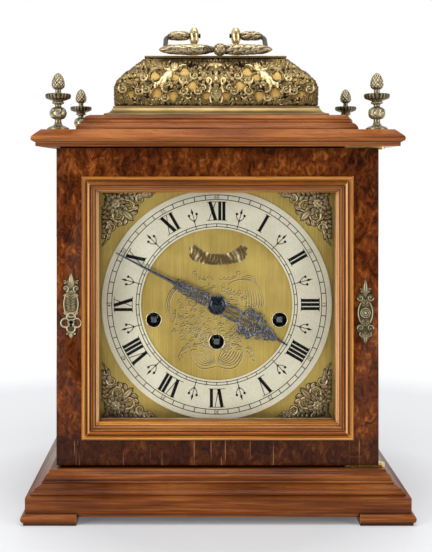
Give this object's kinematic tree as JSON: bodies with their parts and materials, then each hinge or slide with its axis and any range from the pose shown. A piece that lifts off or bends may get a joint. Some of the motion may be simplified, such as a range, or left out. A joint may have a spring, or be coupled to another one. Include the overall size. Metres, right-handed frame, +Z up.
{
  "type": "bracket clock",
  "caption": "Spring-driven bracket clock: glazed wooden case on moulded base, pierced basket top with folding handle, square dial.",
  "frame": {"origin": "middle of the base, on the surface the feet stand on", "axes": "+X to the viewer's right, +Y away from the viewer (the dial faces -Y), +Z up"},
  "size_m": [0.3004, 0.201, 0.3944],
  "materials": {
    "walnut": "polished, reddish straight grain",
    "burr_walnut": "high gloss veneer, dark burr figure",
    "moulding_walnut": "polished, lighter honey tone",
    "inner_wood": "plain, unpolished",
    "antique_brass": "cast, aged grey-gold",
    "gilt_brass": "repousse, gilt with dark recesses",
    "dial_brass": "brushed upright",
    "silvered_brass": "silvered, fine brushed",
    "movement_brass": "polished",
    "blued_steel": "dark blued",
    "steel": "bright turned",
    "lining_cloth": "orange-gold cloth",
    "clear_glass": "clear, thin",
    "cast_iron": "black painted"
  },
  "bodies": {
    "case": {"base_moulding": "walnut", "base_board": "inner_wood", "foot_front_left": "walnut", "foot_front_right": "walnut", "foot_rear_left": "walnut", "foot_rear_right": "walnut", "side_panel_left": "walnut", "side_panel_right": "walnut", "back_frame": "inner_wood", "cornice_board": "walnut", "caddy_board": "walnut", "dial_mask": "inner_wood", "seat_board": "inner_wood", "basket_base": "gilt_brass", "basket_shell": "gilt_brass", "basket_lining": "lining_cloth", "basket_cap": "gilt_brass", "handle_posts": "antique_brass", "finial_front_left": "antique_brass", "finial_front_right": "antique_brass", "finial_rear_left": "antique_brass", "finial_rear_right": "antique_brass", "case_hinge_leaves": "movement_brass", "lock_strike": "movement_brass", "rear_door_hinges": "movement_brass", "dial_plate": "dial_brass", "chapter_ring": "silvered_brass", "corner_spandrels": "antique_brass", "front_plate": "movement_brass", "back_plate": "movement_brass", "plate_pillars": "movement_brass", "gong_rods": "cast_iron"},
    "front_door": {"door_frame": "burr_walnut", "door_moulding": "moulding_walnut", "door_glass": "clear_glass", "glass_beads": "inner_wood", "keyhole_escutcheon": "antique_brass", "knob_escutcheon": "antique_brass", "door_lock": "movement_brass", "door_hinge_leaves": "movement_brass"},
    "lock_cam": {"lock_cam": "steel"},
    "carrying_handle": {"carrying_handle": "antique_brass"},
    "rear_door": {"rear_door": "inner_wood", "rear_door_leaves": "movement_brass"},
    "rear_turn_button": {"rear_turn_button": "movement_brass"},
    "minute_hand": {"minute_hand": "blued_steel", "hand_nut": "blued_steel", "cannon_pinion": "steel", "centre_wheel": "movement_brass"},
    "minute_wheel": {"minute_wheel": "movement_brass"},
    "hour_hand": {"hour_wheel": "movement_brass", "hour_hand": "blued_steel"},
    "going_barrel": {"going_barrel": "movement_brass"},
    "strike_barrel": {"strike_barrel": "movement_brass"},
    "chime_barrel": {"chime_barrel": "movement_brass"},
    "going_winding_arbor": {"going_winding_arbor": "steel"},
    "strike_winding_arbor": {"strike_winding_arbor": "steel"},
    "chime_winding_arbor": {"chime_winding_arbor": "steel"},
    "pendulum": {"pendulum": "movement_brass"},
    "hammers": {"hammers": "steel"}
  },
  "joints": [
    {"name": "front_door_hinge", "type": "hinge", "parent": "case", "child": "front_door", "pos_m": [0.1286, -0.0713, 0.163], "axis": [0, 0, 1], "range_deg": [0, 110]},
    {"name": "lock_cam_turn", "type": "hinge", "parent": "front_door", "child": "lock_cam", "pos_m": [-0.1145, -0.0563, 0.1503], "axis": [0, -1, 0], "range_deg": [0, 90]},
    {"name": "handle_pivot", "type": "hinge", "parent": "case", "child": "carrying_handle", "pos_m": [0, 0.0097, 0.387], "axis": [-1, 0, 0], "range_deg": [0, 240]},
    {"name": "rear_door_hinge", "type": "hinge", "parent": "case", "child": "rear_door", "pos_m": [0.0847, 0.0981, 0.1628], "axis": [0, 0, -1], "range_deg": [0, 110]},
    {"name": "turn_button_pivot", "type": "hinge", "parent": "case", "child": "rear_turn_button", "pos_m": [-0.093, 0.0957, 0.1628], "axis": [0, 1, 0], "range_deg": [0, 90]},
    {"name": "minute_hand_turn", "type": "hinge", "parent": "case", "child": "minute_hand", "pos_m": [0, -0.0563, 0.1613], "axis": [0, 1, 0], "continuous": true},
    {"name": "minute_wheel_turn", "type": "hinge", "parent": "case", "child": "minute_wheel", "pos_m": [0, -0.0383, 0.1913], "axis": [0, 1, 0], "continuous": true},
    {"name": "hour_hand_turn", "type": "hinge", "parent": "case", "child": "hour_hand", "pos_m": [0, -0.0463, 0.1613], "axis": [0, 1, 0], "continuous": true},
    {"name": "going_barrel_turn", "type": "hinge", "parent": "case", "child": "going_barrel", "pos_m": [0, -0.0163, 0.1308], "axis": [0, 1, 0], "continuous": true},
    {"name": "strike_barrel_turn", "type": "hinge", "parent": "case", "child": "strike_barrel", "pos_m": [-0.051, -0.0163, 0.1486], "axis": [0, 1, 0], "continuous": true},
    {"name": "chime_barrel_turn", "type": "hinge", "parent": "case", "child": "chime_barrel", "pos_m": [0.051, -0.0163, 0.1486], "axis": [0, 1, 0], "continuous": true},
    {"name": "going_winding_turn", "type": "hinge", "parent": "case", "child": "going_winding_arbor", "pos_m": [0, -0.0163, 0.1308], "axis": [0, 1, 0], "continuous": true},
    {"name": "strike_winding_turn", "type": "hinge", "parent": "case", "child": "strike_winding_arbor", "pos_m": [-0.051, -0.0163, 0.1486], "axis": [0, 1, 0], "continuous": true},
    {"name": "chime_winding_turn", "type": "hinge", "parent": "case", "child": "chime_winding_arbor", "pos_m": [0.051, -0.0163, 0.1486], "axis": [0, 1, 0], "continuous": true},
    {"name": "pendulum_swing", "type": "hinge", "parent": "case", "child": "pendulum", "pos_m": [0, 0.0267, 0.226], "axis": [0, 1, 0], "range_deg": [-4, 4]},
    {"name": "hammer_lift", "type": "hinge", "parent": "case", "child": "hammers", "pos_m": [-0.057, 0.0417, 0.112], "axis": [-1, 0, 0], "range_deg": [0, 15]}
  ],
  "couplings": [
    {"joint": "hour_hand_turn", "follows": "minute_hand_turn", "ratio": 0.083333},
    {"joint": "minute_wheel_turn", "follows": "minute_hand_turn", "ratio": -0.33333},
    {"joint": "going_barrel_turn", "follows": "minute_hand_turn", "ratio": -0.13889}
  ]
}
